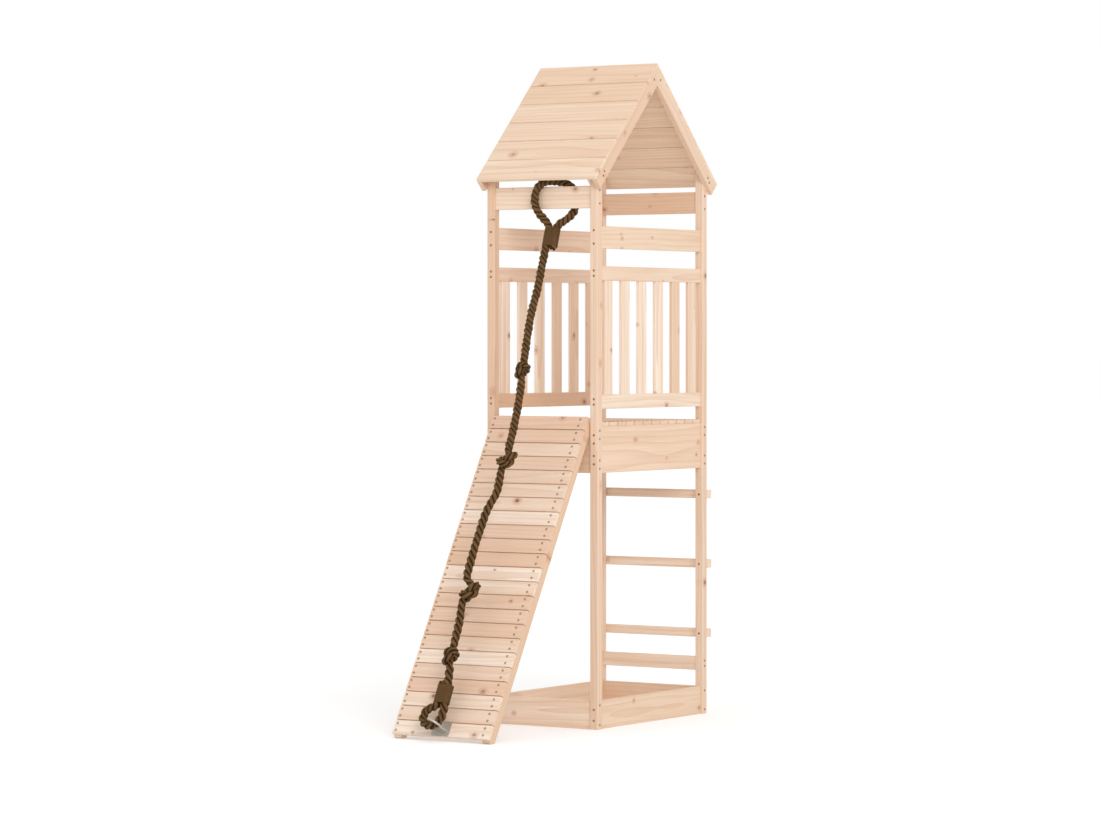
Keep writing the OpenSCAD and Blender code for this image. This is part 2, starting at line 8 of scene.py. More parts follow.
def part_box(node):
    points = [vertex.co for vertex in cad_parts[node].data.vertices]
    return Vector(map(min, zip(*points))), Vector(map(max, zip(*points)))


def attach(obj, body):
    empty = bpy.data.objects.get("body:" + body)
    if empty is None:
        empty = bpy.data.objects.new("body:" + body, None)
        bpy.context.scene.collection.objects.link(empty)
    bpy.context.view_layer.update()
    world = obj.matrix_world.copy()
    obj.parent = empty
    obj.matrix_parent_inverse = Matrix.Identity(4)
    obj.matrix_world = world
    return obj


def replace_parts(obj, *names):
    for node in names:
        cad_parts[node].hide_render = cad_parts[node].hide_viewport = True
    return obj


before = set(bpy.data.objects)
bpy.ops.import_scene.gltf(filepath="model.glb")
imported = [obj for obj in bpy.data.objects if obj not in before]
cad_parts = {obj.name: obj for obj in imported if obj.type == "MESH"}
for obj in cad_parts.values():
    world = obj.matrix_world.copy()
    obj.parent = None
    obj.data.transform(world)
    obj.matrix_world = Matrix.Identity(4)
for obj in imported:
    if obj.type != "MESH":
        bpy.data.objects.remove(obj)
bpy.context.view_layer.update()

# Corner posts: four square sticks of planed pine with eased edges, cut to the roof's slope on top.
# They stand on the floor, and every board of the tower is screwed between two of them.
MM = 0.001
ALONG_X, ALONG_Y, ALONG_Z = Vector((1, 0, 0)), Vector((0, 1, 0)), Vector((0, 0, 1))


def linear(hex_value):
    """An sRGB hex value as the linear colour that a shader takes."""
    parts = [int(hex_value[i:i + 2], 16) / 255 for i in (1, 3, 5)]
    return [*(p / 12.92 if p <= 0.04045 else ((p + 0.055) / 1.055) ** 2.4 for p in parts), 1]


def add(tree, kind, inputs, **settings):
    """Adds one shader node with its settings, and gives its outputs. inputs has a value or a link for
    each socket that needs one, by the socket's name or number."""
    made = tree.nodes.new("ShaderNode" + kind)
    for name, value in settings.items():
        setattr(made, name, value)
    for socket, value in inputs.items():
        if isinstance(value, bpy.types.NodeSocket):
            tree.links.new(value, made.inputs[socket])
        else:
            made.inputs[socket].default_value = value
    return made.outputs


def new_material(name):
    """A new material, its node tree and its shader."""
    material = bpy.data.materials.new(name)
    material.use_nodes = True
    return material, material.node_tree, material.node_tree.nodes["Principled BSDF"]


def tone_over(tree, tint, layers):
    """Lays tones over a tint. Each layer has a share, the values at which it starts and is full, how
    much of the tone it then lays on, and the tone."""
    for share, start, full, most, tone in layers:
        share = add(tree, "MapRange", {0: share, 1: start, 2: full, 3: 0, 4: most})[0]
        tint = add(tree, "Mix", {0: share, 6: tint, 7: linear(tone)}, data_type="RGBA")[2]
    return tint


# Real growth rings lie 3 to 6 mm apart; 11 mm still shows from afar. They sway along the board, and a
# knot pushes them aside.
RING_GAP, RING_SWAY, KNOT_PUSH = 11 * MM, 34 * MM, 9 * MM
# A pitch of 10 m, wider than any board, stands for a board that has its node to itself.
ALONE = 10


def planed_pine(name, first, grain, width, pitch=ALONE, pale="#F7E3CF", pink="#E3C1A5"):
    """Planed, unfinished pine, drawn as a solid so that faces, edges and ends belong together.
    It gives the eye pale wood with soft growth rings, fine fibres along the grain and a few brown
    knots that the grain bends round. first is the middle of the first board, and boards that
    share a node lie a pitch apart along width; each board has its own heart, tone and knots."""
    material, tree, shader = new_material("planed_pine_" + name)
    grain, width = grain.normalized(), width.normalized()
    turn = Matrix((grain, width, grain.cross(width)))
    seed = sum(ord(c) * (i + 1) for i, c in enumerate(name)) % 997
    here = add(tree, "TexCoord", {})["Object"]
    board = add(tree, "Mapping", {0: here, 1: -(turn @ first), 2: turn.to_euler()})[0]
    along, across, deep = add(tree, "SeparateXYZ", {0: board})[:]
    count = add(tree, "Math", {0: across, 1: 1 / pitch, 2: seed}, operation="MULTIPLY_ADD")[0]
    count = add(tree, "Math", {0: count}, operation="ROUND")[0]
    across = add(tree, "Math", {0: across, 1: pitch / 2, 2: -pitch / 2}, operation="WRAP")[0]
    luck = add(tree, "TexWhiteNoise", {"W": count}, noise_dimensions="1D")
    point = add(tree, "CombineXYZ", {0: along, 1: across, 2: deep})[0]
    # Every board comes from its own place in the tree: its heart lies 25 to 85 mm under its face.
    heart = add(tree, "VectorMath", {0: luck["Color"], 1: (0, 0.12, -0.06), 2: (0, -0.06, -0.025)},
                operation="MULTIPLY_ADD")[0]
    place = add(tree, "VectorMath", {0: luck["Color"], 1: (31, 47, 23), 2: point},
                operation="MULTIPLY_ADD")[0]
    # Knots: at most one in each 200 x 70 mm of board, and none in two such fields of five. They are up
    # to 7.5 mm in radius, a quarter longer with the grain, and go right through the board.
    cells = add(tree, "VectorMath", {0: place, 1: (1 / 0.2, 1 / 0.07, 1 / 0.07)},
                operation="MULTIPLY")[0]
    cell = add(tree, "TexVoronoi", {"Vector": cells, "Scale": 1, "Randomness": 0.6})
    off = add(tree, "VectorMath", {0: cells, 1: cell["Position"]}, operation="SUBTRACT")[0]
    off = add(tree, "VectorMath", {0: off, 1: (0.158, 0.07, 0.008)}, operation="MULTIPLY")[0]
    off = add(tree, "VectorMath", {0: off}, operation="LENGTH")["Value"]
    chance, dark = add(tree, "SeparateColor", {0: cell["Color"]})[:2]
    radius = add(tree, "MapRange", {0: chance, 1: 0.38, 2: 1, 3: 0.1 * MM, 4: 7.5 * MM})[0]
    dark = add(tree, "MapRange", {0: dark, 1: 0, 2: 1, 3: 0.15, 4: 0.85})[0]
    off = add(tree, "Math", {0: off, 1: radius}, operation="DIVIDE")[0]
    knot = add(tree, "MapRange", {0: off, 1: 1.15, 2: 0.6, 3: 0, 4: dark},
               interpolation_type="SMOOTHSTEP")[0]
    halo = add(tree, "MapRange", {0: off, 1: 3.0, 2: 0.9, 3: 0, 4: 1},
               interpolation_type="SMOOTHSTEP")[0]
    # Growth rings round the heart, each darker towards its outer edge. They sway over about 600 mm.
    spread = add(tree, "VectorMath", {0: point, 1: heart}, operation="SUBTRACT")[0]
    spread = add(tree, "VectorMath", {0: spread, 1: (0, 1, 1)}, operation="MULTIPLY")[0]
    spread = add(tree, "VectorMath", {0: spread}, operation="LENGTH")["Value"]
    sway = add(tree, "VectorMath", {0: place, 1: (1.7, 9, 9)}, operation="MULTIPLY")[0]
    sway = add(tree, "TexNoise", {"Vector": sway, "Scale": 1, "Detail": 1})[0]
    spread = add(tree, "Math", {0: sway, 1: RING_SWAY, 2: spread}, operation="MULTIPLY_ADD")[0]
    spread = add(tree, "Math", {0: halo, 1: KNOT_PUSH, 2: spread}, operation="MULTIPLY_ADD")[0]
    ring = add(tree, "Math", {0: spread, 1: 1 / RING_GAP}, operation="MULTIPLY")[0]
    ring = add(tree, "Math", {0: ring}, operation="FRACT")[0]
    ring = add(tree, "Math", {0: ring, 1: 2.4}, operation="POWER")[0]
    # Fibres about 3 mm wide and 150 mm long, and soft bands about 30 mm wide.
    fibre = add(tree, "VectorMath", {0: place, 1: (6.5, 300, 300)}, operation="MULTIPLY")[0]
    fibre = add(tree, "TexNoise", {"Vector": fibre, "Scale": 1, "Detail": 3})[0]
    band = add(tree, "VectorMath", {0: place, 1: (1.3, 33, 33)}, operation="MULTIPLY")[0]
    band = add(tree, "TexNoise", {"Vector": band, "Scale": 1, "Detail": 2})[0]
    tint = add(tree, "Mix", {0: luck["Value"], 6: linear(pale), 7: linear(pink)}, data_type="RGBA")[2]
    tint = tone_over(tree, tint, (
        (band, 0.42, 0.75, 0.55, "#E2BD9B"), (ring, 0, 1, 0.32, "#CE9E77"),
        (fibre, 0.45, 0.85, 0.35, "#D0A681"), (halo, 0, 1, 0.46, "#C98E68"),
        (knot, 0, 1, 1, "#74472B")))
    tree.links.new(tint, shader.inputs["Base Color"])
    rough = add(tree, "MapRange", {0: fibre, 1: 0.3, 2: 0.7, 3: 0.52, 4: 0.68})[0]
    tree.links.new(rough, shader.inputs["Roughness"])
    height = add(tree, "Math", {0: ring, 1: 0.4, 2: fibre}, operation="MULTIPLY_ADD")[0]
    bump = add(tree, "Bump", {"Height": height, "Distance": 0.4 * MM, "Strength": 0.5})[0]
    tree.links.new(bump, shader.inputs["Normal"])
    return material


def dress(node, material):
    """Gives a solid of the frame its finish."""
    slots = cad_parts[node].data.materials
    slots.clear()
    slots.append(material)


def middle(node):
    """The middle of a solid's box."""
    low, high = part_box(node)
    return (low + high) / 2


def dress_board(node, grain, width, **tones):
    """Gives a solid that is one board its own pine."""
    dress(node, planed_pine(node, middle(node), grain, width, **tones))


for node in ("front_right_post", "front_left_post", "rear_right_post", "rear_left_post"):
    dress_board(node, ALONG_Z, ALONG_Y)

# Boards between the posts: pine boards 14 mm thick, on edge, that tie the posts at the top, over the
# railings, low at the back and at the floor. Each butts between two posts, held by screws through them.
for node in ("front_top_board", "rear_bottom_board", "rear_lower_board"):
    dress_board(node, ALONG_X, ALONG_Z)
dress_board("rear_top_board", ALONG_X, ALONG_Z, pale="#ECCFB4")
dress_board("front_bottom_board", ALONG_X, ALONG_Z, pink="#F4DCC6")
# The side boards' tones are partly painted light: the right boards, which face the lamp, are painted
# darker, and the left boards, whose inner faces are seen in shade, are painted paler.
for node in ("right_upper_board", "right_bottom_board"):
    dress_board(node, ALONG_Y, ALONG_Z, pale="#EFD5BB")
for node in ("left_upper_board", "left_bottom_board"):
    dress_board(node, ALONG_Y, ALONG_Z, pale="#FAE8D5", pink="#F3D9C2")

# Railings: a top and a bottom rail of pine on each side, screwed between the posts like the boards,
# with six upright slats held between the two rails.
RAILING_SLATS = 6
RAILING_PITCH = 102 * MM
for side in ("right", "left"):
    for node in (side + "_top_rail", side + "_bottom_rail"):
        dress_board(node, ALONG_Y, ALONG_Z)
    node = side + "_railing_slats"
    first = middle(node)
    first.y -= (RAILING_SLATS - 1) / 2 * RAILING_PITCH
    dress(node, planed_pine(node, first, ALONG_Z, ALONG_Y, pitch=RAILING_PITCH,
                            pale="#FDEDDC", pink="#E9CBB0"))

# Platform: four skirt boards of pine screwed between the posts, and twelve narrow deck boards laid
# across the side skirts with open joints, their ends flush with the skirts' outer faces.
DECK_BOARDS = 12
DECK_PITCH = 51 * MM
for node, grain, pink in (("front_skirt", ALONG_X, "#E3C1A5"), ("rear_skirt", ALONG_X, "#E3C1A5"),
                          ("right_skirt", ALONG_Y, "#EED0B5"), ("left_skirt", ALONG_Y, "#EED0B5")):
    dress_board(node, grain, ALONG_Z, pink=pink)
first_deck_board = middle("deck_boards")
first_deck_board.y -= (DECK_BOARDS - 1) / 2 * DECK_PITCH
dress("deck_boards", planed_pine("deck_boards", first_deck_board, ALONG_X, ALONG_Y, pitch=DECK_PITCH,
                                 pale="#F0D4B9", pink="#E5C4A7"))

# Ladder: three square pine rungs across the backs of the rear posts, each held by a screw driven
# from the inner face of either post.
RUNGS = ("rung_1", "rung_2", "rung_3")
for node in RUNGS:
    dress_board(node, ALONG_X, ALONG_Z, pale="#FBE9D6", pink="#EFD1B6")

# Roof: two pine rafters at each gable, mitred at the ridge and screwed to the posts, carry six boards
# on each slope that run along the ridge with thin open joints.
SLOPE_BOARDS = 6
for slope, down, pale, pink in (("front", Vector((0, -1, -1)), "#F9E9D6", "#EACCB0"),
                                ("rear", Vector((0, 1, -1)), "#F5DEC5", "#E6C4A5")):
    square_to = ALONG_X.cross(down)
    for node in ("right_" + slope + "_rafter", "left_" + slope + "_rafter"):
        dress_board(node, down, square_to)
    for number in range(SLOPE_BOARDS):
        dress_board(f"roof_{slope}_board_{number + 1}", ALONG_X, down, pale=pale, pink=pink)

# Climbing ramp: two square pine stringers with rounded toes lean on the front skirt, and 23 pine slats
# lie across them with narrow joints, two screws at each end.
RAMP_ANGLE = math.radians(60)
RAMP_SLATS = 23
SLAT_PITCH = 48.505 * MM
SLAT_WIDTH, SLAT_T = 46.005 * MM, 12 * MM
# The upper edge of the ramp's face, measured from the tower's axis and the floor.
RAMP_TOP_Y, RAMP_TOP_Z = -345 * MM, 981 * MM
down_ramp = Vector((0, -math.cos(RAMP_ANGLE), -math.sin(RAMP_ANGLE)))
off_ramp = Vector((0, -math.sin(RAMP_ANGLE), math.cos(RAMP_ANGLE)))
tower_y = middle("deck_boards").y
ramp_top = Vector((0, tower_y + RAMP_TOP_Y, RAMP_TOP_Z))
for node in ("ramp_right_stringer", "ramp_left_stringer"):
    dress_board(node, down_ramp, ALONG_X)
first_slat = ramp_top + down_ramp * SLAT_WIDTH / 2 - off_ramp * SLAT_T / 2
dress("ramp_slats", planed_pine("ramp_slats", first_slat, ALONG_X, down_ramp, pitch=SLAT_PITCH,
                                pale="#FAEADA", pink="#E5C2A8"))

# Wood screws: yellow-passivated steel, countersunk, with a star drive. They hold every board between
# its posts, the rungs, the rafters and the ramp's head, and sit flush in their holes.
HEAD_R, HEAD_H, SHANK_R = 3.75 * MM, 3 * MM, 2 * MM
# The star drive lies inside a flat rim, its inner corners are drawn in, and its walls lean a little.
STAR_RIM, STAR_INNER, STAR_LEAN, STAR_DEPTH = 1.5 * MM, 0.68, 0.15 * MM, 1.4 * MM
# The tip tapers to a fifth of the shank.
TIP_SHARE = 0.2
# No two screws in a row stop at the same turn.
TURN_EACH = 2.4


def finished_mesh(name, shape):
    """A finished bmesh as a mesh."""
    mesh = bpy.data.meshes.new(name)
    shape.to_mesh(mesh)
    shape.free()
    return mesh


def new_piece(name, mesh, material):
    """Makes a mesh an object that rides on the part, and gives it its finish."""
    mesh.materials.clear()
    mesh.materials.append(material)
    piece = bpy.data.objects.new(name, mesh)
    bpy.context.scene.collection.objects.link(piece)
    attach(piece, "root")
    return piece


# Passivated zinc on steel: a dull straw-brown metal, a little darker in blotches about 2 mm wide.
passivated_zinc, tree, shader = new_material("yellow_passivated_zinc")
place = add(tree, "TexCoord", {})["Object"]
blotch = add(tree, "TexNoise", {"Vector": place, "Scale": 1 / (2 * MM), "Detail": 2})[0]
tint = add(tree, "Mix", {0: blotch, 6: linear("#8A6745"), 7: linear("#AE8A63")}, data_type="RGBA")[2]
tree.links.new(tint, shader.inputs["Base Color"])
shader.inputs["Metallic"].default_value = 0.25
shader.inputs["Roughness"].default_value = 0.55


def screw_shape(length):
    """One screw that points down from Z = 0, its drive sunk into the head."""
    screw = bmesh.new()
    bmesh.ops.create_circle(screw, cap_ends=True, radius=HEAD_R, segments=12)
    top = screw.faces[:]
    bmesh.ops.inset_individual(screw, faces=top, thickness=STAR_RIM)
    for corner in list(top[0].verts)[::2]:
        corner.co *= STAR_INNER
    bmesh.ops.inset_individual(screw, faces=top, thickness=STAR_LEAN, depth=-STAR_DEPTH)
    edges = [e for e in screw.edges if e.is_boundary]
    for drop, size in ((HEAD_H, SHANK_R / HEAD_R), (length - HEAD_H - SHANK_R, 1), (SHANK_R, TIP_SHARE)):
        made = bmesh.ops.extrude_edge_only(screw, edges=edges)["geom"]
        corners = [g for g in made if isinstance(g, bmesh.types.BMVert)]
        bmesh.ops.scale(screw, vec=(size, size, 1), verts=corners)
        bmesh.ops.translate(screw, vec=(0, 0, -drop), verts=corners)
        edges = [g for g in made if isinstance(g, bmesh.types.BMEdge)]
    bmesh.ops.edgeloop_fill(screw, edges=edges)
    bmesh.ops.recalc_face_normals(screw, faces=screw.faces)
    return finished_mesh("one_screw", screw)


def screws(name, places, length, proud=0, metal=passivated_zinc):
    """Screws at (place, outward way) pairs, as one piece; proud lifts their heads off the wood."""
    one = screw_shape(length)
    many = bmesh.new()
    for number, (place, out) in enumerate(places):
        before = len(many.verts)
        many.from_mesh(one)
        many.verts.ensure_lookup_table()
        turn = out.to_track_quat("Z", "X").to_matrix().to_4x4()
        turn = turn @ Matrix.Rotation(TURN_EACH * number, 4, "Z")
        bmesh.ops.transform(many, matrix=Matrix.Translation(place + out * proud) @ turn,
                            verts=many.verts[before:])
    return new_piece(name, finished_mesh(name, many), metal)


TOWER_HALF_X, TOWER_HALF_Y, POST_SIDE = 208 * MM, 334 * MM, 28 * MM
SCREW_EDGE, SIDE_SCREW_EDGE, SKIRT_STEP = 14 * MM, 28 * MM, 26 * MM
FRAME_SCREW_L, SHORT_SCREW_L, RAMP_SCREW_L = 60 * MM, 40 * MM, 34 * MM
CROSS_BOARDS = ("front_top_board", "front_skirt", "front_bottom_board", "rear_top_board", "rear_skirt",
                "rear_bottom_board", "rear_lower_board")
SIDE_BOARDS = [side + board for side in ("right_", "left_")
               for board in ("upper_board", "top_rail", "bottom_rail", "skirt", "bottom_board")]
places = []
for nodes, ways in ((CROSS_BOARDS, (ALONG_X, -ALONG_X)), (SIDE_BOARDS, (ALONG_Y, -ALONG_Y))):
    for node in nodes:
        low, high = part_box(node)
        edge = SCREW_EDGE
        if node in ("right_skirt", "left_skirt", "right_bottom_board", "left_bottom_board"):
            edge = SIDE_SCREW_EDGE
        for step in (0, SKIRT_STEP) if "skirt" in node else (0,):
            for height in (low.z + edge + step, high.z - edge - step):
                for out in ways:
                    place = middle(node)
                    place.z = height
                    if out.x:
                        place.x = out.x * TOWER_HALF_X
                    else:
                        place.y = tower_y + out.y * TOWER_HALF_Y
                    places.append((place, out))
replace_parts(screws("frame_star_screws", places, FRAME_SCREW_L), "frame_screws")

post_x, post_y = TOWER_HALF_X - POST_SIDE / 2, TOWER_HALF_Y - POST_SIDE / 2
inner_y = tower_y + TOWER_HALF_Y - POST_SIDE
places = [(Vector((side * post_x, inner_y, middle(node).z)), -ALONG_Y)
          for node in RUNGS for side in (1, -1)]
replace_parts(screws("rung_star_screws", places, SHORT_SCREW_L), "rung_screws")

RAFTER_FACE_X = 223 * MM
RAFTER_SEAT_Z = 1741.54 * MM
# At the ridge, one screw stands on either side of the mitre.
RIDGE_SCREW_STEP, RIDGE_SCREW_Z = 19 * MM, 2052 * MM
places = []
ridge_places = []
for side in (1, -1):
    face_x, out = side * RAFTER_FACE_X, side * ALONG_X
    for slope in (1, -1):
        for step in (1, -1):
            places.append((Vector((face_x, tower_y + slope * (post_y + step * HEAD_R),
                                   RAFTER_SEAT_Z - step * 2 * HEAD_R)), out))
        ridge_places.append((Vector((face_x, tower_y + slope * RIDGE_SCREW_STEP, RIDGE_SCREW_Z)), out))
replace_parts(screws("rafter_star_screws", places, SHORT_SCREW_L), "rafter_screws")

STRINGER_X = 163 * MM
skirt_inner_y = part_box("front_skirt")[1].y
places = [(Vector((side * STRINGER_X, skirt_inner_y, middle("ramp_screws").z)), ALONG_Y)
          for side in (1, -1)]
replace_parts(screws("ramp_star_screws", places, RAMP_SCREW_L), "ramp_screws")

# Board screws: the same screws, shorter, through the ramp's slats into its stringers, through the deck
# boards into the side skirts, and through the rafters at the ridge. They have no countersink, so
# their heads stand proud of the wood.
PROUD = 0.9 * MM
BOARD_SCREW_L, RIDGE_SCREW_L = 30 * MM, 14 * MM
SLAT_SCREW_STEPS = 11.5 * MM, 34.5 * MM
# Both rows of the ramp's screws stand 6 mm to the left of even, as in the photograph.
SLAT_SCREW_X, SLAT_SCREW_LEFT = 161 * MM, 6 * MM
DECK_SCREW_STEP = 12 * MM
places = []
for number in range(RAMP_SLATS):
    for side in (1, -1):
        for step in SLAT_SCREW_STEPS:
            on_ramp = ramp_top + down_ramp * (number * SLAT_PITCH + step)
            places.append((on_ramp + (side * SLAT_SCREW_X - SLAT_SCREW_LEFT) * ALONG_X, off_ramp))
screws("ramp_slat_screws", places, BOARD_SCREW_L, PROUD)
places = []
deck_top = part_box("deck_boards")[1].z
for number in range(DECK_BOARDS):
    for side in (1, -1):
        for step in (-DECK_SCREW_STEP, DECK_SCREW_STEP):
            y = first_deck_board.y + number * DECK_PITCH + step
            places.append((Vector((side * post_x, y, deck_top)), ALONG_Z))
screws("deck_screws", places, BOARD_SCREW_L, PROUD)
screws("ridge_screws", ridge_places, RIDGE_SCREW_L, PROUD)

# Eye plate: a hot-dip galvanised steel plate with a bow of round bar welded on it, screwed to the
# ramp's lowest slat with four short galvanised screws.
PLATE_DOWN, PLATE_T, PLATE_SCREW_L = 1090.13 * MM, 3 * MM, 12 * MM
# Its screws stand this far from its middle, across the ramp and down it.
PLATE_SCREW_ACROSS, PLATE_SCREW_DOWN = 25 * MM, 16 * MM

galvanised, tree, shader = new_material("hot_dip_galvanised_steel")
# Zinc spangle: dull grey crystals about 4 mm wide, each a little lighter or darker than the next.
place = add(tree, "TexCoord", {})["Object"]
spangle = add(tree, "TexVoronoi", {"Vector": place, "Scale": 1 / (4 * MM)})["Color"]
spangle = add(tree, "SeparateColor", {0: spangle})[0]
tint = add(tree, "Mix", {0: spangle, 6: linear("#BFB7AC"), 7: linear("#D6CDC1")}, data_type="RGBA")[2]
tree.links.new(tint, shader.inputs["Base Color"])
shader.inputs["Metallic"].default_value = 0.85
rough = add(tree, "MapRange", {0: spangle, 1: 0, 2: 1, 3: 0.48, 4: 0.65})[0]
tree.links.new(rough, shader.inputs["Roughness"])
bump = add(tree, "Bump", {"Height": spangle, "Distance": 0.1 * MM, "Strength": 0.3})[0]
tree.links.new(bump, shader.inputs["Normal"])
dress("anchor_plate", galvanised)
dress("anchor_bow", galvanised)
plate_middle = ramp_top + down_ramp * PLATE_DOWN + off_ramp * PLATE_T
places = [(plate_middle + across * PLATE_SCREW_ACROSS * ALONG_X + lower * PLATE_SCREW_DOWN * down_ramp,
           off_ramp) for across in (1, -1) for lower in (1, -1)]
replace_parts(screws("anchor_star_screws", places, PLATE_SCREW_L, metal=galvanised), "anchor_screws")

# Climbing rope: a brown three-strand laid rope, tied in four overhand knots. Its ends turn back as eyes,
# one round the front top board and one in the eye plate's bow, each gripped by a sleeve.
# An offset of less than 4/3 of a strand's radius leaves no gap that light could pass.
STRAND_R, STRAND_OUT = 5.8 * MM, 7.4 * MM
ROPE_STEP = 3 * MM
# One turn of a strand takes 49 mm above the second knot, and the lay opens to 64 mm further down.
LAY_HIGH, LAY_LOW = 49 * MM, 64 * MM
LAY_HIGH_Z, LAY_LOW_Z = 850 * MM, 700 * MM
# A strand is up to 10% thicker or thinner in turn, because a soft rope never lies quite evenly.
SWELL, SWELL_L = 0.1, 41 * MM
# A knot of 20.6 mm would leave the rope its full girth, and a smaller one draws it tighter. It is tight
# up to 1.5 sizes from the knot's middle, and full again one size further on.
FULL_KNOT, KNOT_REACH = 20.6 * MM, 1.5

# Rope yarn: matt brown synthetic hemp. Its yarns run along each strand with a twist against the lay.
# Real ones are about 2 mm wide; seven round a strand, 5 mm wide, still show. They are fuzzy over about
# 2.4 mm and change tone over about 18 mm, and painted shade darkens them deep between the strands.
YARNS, YARN_TURN = 7, 30 * MM
laid_yarn, tree, shader = new_material("brown_laid_rope_yarn")
length_way, round_way = add(tree, "SeparateXYZ", {0: add(tree, "UVMap", {})[0]})[:2]
slant = add(tree, "Math", {0: length_way, 1: -1 / YARN_TURN, 2: round_way}, operation="MULTIPLY_ADD")[0]
yarn = add(tree, "Math", {0: slant, 1: 2 * math.pi * YARNS}, operation="MULTIPLY")[0]
yarn = add(tree, "Math", {0: yarn}, operation="SINE")[0]
yarn = add(tree, "MapRange", {0: yarn, 1: -1, 2: 1, 3: 0, 4: 1})[0]
place = add(tree, "TexCoord", {})["Object"]
fuzz = add(tree, "TexNoise", {"Vector": place, "Scale": 420, "Detail": 3})[0]
patch = add(tree, "TexNoise", {"Vector": place, "Scale": 55, "Detail": 2})[0]
# Painted shade: off_core makes the yarn darker where it lies near the rope's line, deep between the
# strands.
off_core = add(tree, "Attribute", {}, attribute_name="off_core")["Fac"]
tint = add(tree, "Mix", {0: patch, 6: linear("#5F4120"), 7: linear("#7E5D36")}, data_type="RGBA")[2]
tint = tone_over(tree, tint, (
    (yarn, 0.55, 0, 0.45, "#38240F"), (fuzz, 0.5, 0.8, 0.4, "#94764F"),
    (off_core, 13 * MM, 9 * MM, 0.85, "#231405")))
tree.links.new(tint, shader.inputs["Base Color"])
shader.inputs["Roughness"].default_value = 0.85
shader.inputs["Specular IOR Level"].default_value = 0.25
height = add(tree, "Math", {0: fuzz, 1: 0.5, 2: yarn}, operation="MULTIPLY_ADD")[0]
bump = add(tree, "Bump", {"Height": height, "Distance": 0.8 * MM, "Strength": 0.8})[0]
tree.links.new(bump, shader.inputs["Normal"])


def tower_point(p):
    """A point measured in mm from the tower's axis, in the part's own frame."""
    return Vector((p[0] * MM, p[1] * MM + tower_y, p[2] * MM))


def smooth_route(points, step):
    """A smooth line through the points, with a point about every step."""
    ends = [points[0] * 2 - points[1], *points, points[-1] * 2 - points[-2]]
    line = [points[0]]
    for a, b, c, d in zip(ends, ends[1:], ends[2:], ends[3:]):
        count = max(2, round((c - b).length / step) + 1)
        line += geometry.interpolate_bezier(b, b + (c - a) / 6, c - (d - b) / 6, c, count)[1:]
    return line


def laid_rope(name, line, knots=()):
    """Three strands laid round the line to the left, as one mesh that rides on the part. Its UV holds the
    length in metres, and off_core the distance from the line at full girth. knots has the place and size
    of each knot, where the strands draw together."""
    curve = bpy.data.curves.new(name, "CURVE")
    curve.dimensions = "3D"
    curve.bevel_depth = STRAND_R
    curve.bevel_resolution = 3
    curve.use_fill_caps = True
    way = (line[1] - line[0]).normalized()
    side = way.orthogonal().normalized()
    run = 0
    turns = 0
    laid = [[], [], []]
    sizes = []
    core = kdtree.KDTree(len(line))
    for i, p in enumerate(line):
        core.insert(p, i)
        way = (line[min(i + 1, len(line) - 1)] - line[max(i - 1, 0)]).normalized()
        side = (side - way * side.dot(way)).normalized()
        step = (p - line[i - 1]).length if i else 0
        run += step
        low_share = min(1, max(0, (LAY_HIGH_Z - p.z) / (LAY_HIGH_Z - LAY_LOW_Z)))
        turns -= step / (LAY_HIGH + (LAY_LOW - LAY_HIGH) * low_share)
        size = 1
        for knot, knot_size in knots:
            tight = knot_size / FULL_KNOT
            beyond = (p - knot).length / knot_size - KNOT_REACH
            size = min(size, max(tight, tight + (1 - tight) * beyond))
        sizes.append(size)
        for k in range(3):
            turn = 2 * math.pi * (turns + k / 3)
            out = side * math.cos(turn) + way.cross(side) * math.sin(turn)
            swell = SWELL * math.sin(2 * math.pi * run / SWELL_L + 2 * k)
            laid[k].append((*(p + out * STRAND_OUT * size * (1 + swell / 2)), size * (1 + swell)))
    core.balance()
    for strand in laid:
        spline = curve.splines.new("POLY")
        spline.points.add(len(strand) - 1)
        for point, (x, y, z, size) in zip(spline.points, strand):
            point.co = (x, y, z, 1)
            point.radius = size
    drawn = bpy.data.objects.new(name + "_line", curve)
    bpy.context.scene.collection.objects.link(drawn)
    bpy.context.view_layer.update()
    mesh = bpy.data.meshes.new_from_object(drawn)
    bpy.data.objects.remove(drawn)
    for corner in mesh.uv_layers[0].data:
        corner.uv = (corner.uv[0] * run, corner.uv[1])
    off_core = mesh.attributes.new("off_core", "FLOAT", "POINT")
    for vertex, value in zip(mesh.vertices, off_core.data):
        _, nearest, away = core.find(vertex.co)
        value.value = away / sizes[nearest]
    mesh.name = name
    mesh.shade_smooth()
    return new_piece(name, mesh, laid_yarn)


# An overhand knot pulled tight, as shares of its size: half of the rope's way through it. The other
# half is the same turned over.
HALF_KNOT = ((-0.07, 0.05, -1.34), (-0.07, -0.02, -0.95), (-0.17, -0.12, -0.57), (-0.41, -0.28, -0.29),
             (-0.51, -0.57, -0.05), (-0.45, -0.84, 0.23), (-0.25, -1.03, 0.52), (0.04, -1.09, 0.78),
             (0.38, -1.01, 0.98), (0.70, -0.81, 1.09), (0.94, -0.50, 1.11), (1.07, -0.13, 1.03),
             (1.06, 0.24, 0.89), (0.91, 0.55, 0.68), (0.66, 0.74, 0.44), (0.34, 0.80, 0.22))
WHOLE_KNOT = HALF_KNOT + ((0, 0.80, 0),) + tuple((-x, y, -z) for x, y, z in reversed(HALF_KNOT))
main_route = [tower_point(p) for p in (
    (20, -339, 1523), (20, -342, 1514), (18, -364, 1446), (20, -390, 1380), (16, -417, 1310),
    (19, -444, 1240), (24, -469, 1170), (28, -486, 1124), (32, -499, 1090), (35, -525, 1010),
    (31, -549, 930), (28, -567, 880), (27, -576, 850), (16, -587, 820), (15, -611, 752), (3, -628, 715),
    (-6, -645, 680), (-11, -680, 610), (-13, -714, 540), (-11, -738, 490), (9, -752, 449), (-5, -770, 420),
    (2, -798, 360), (5, -828, 300), (6, -849, 254), (9, -861, 222), (14, -878, 170.2), (14, -882, 162))]
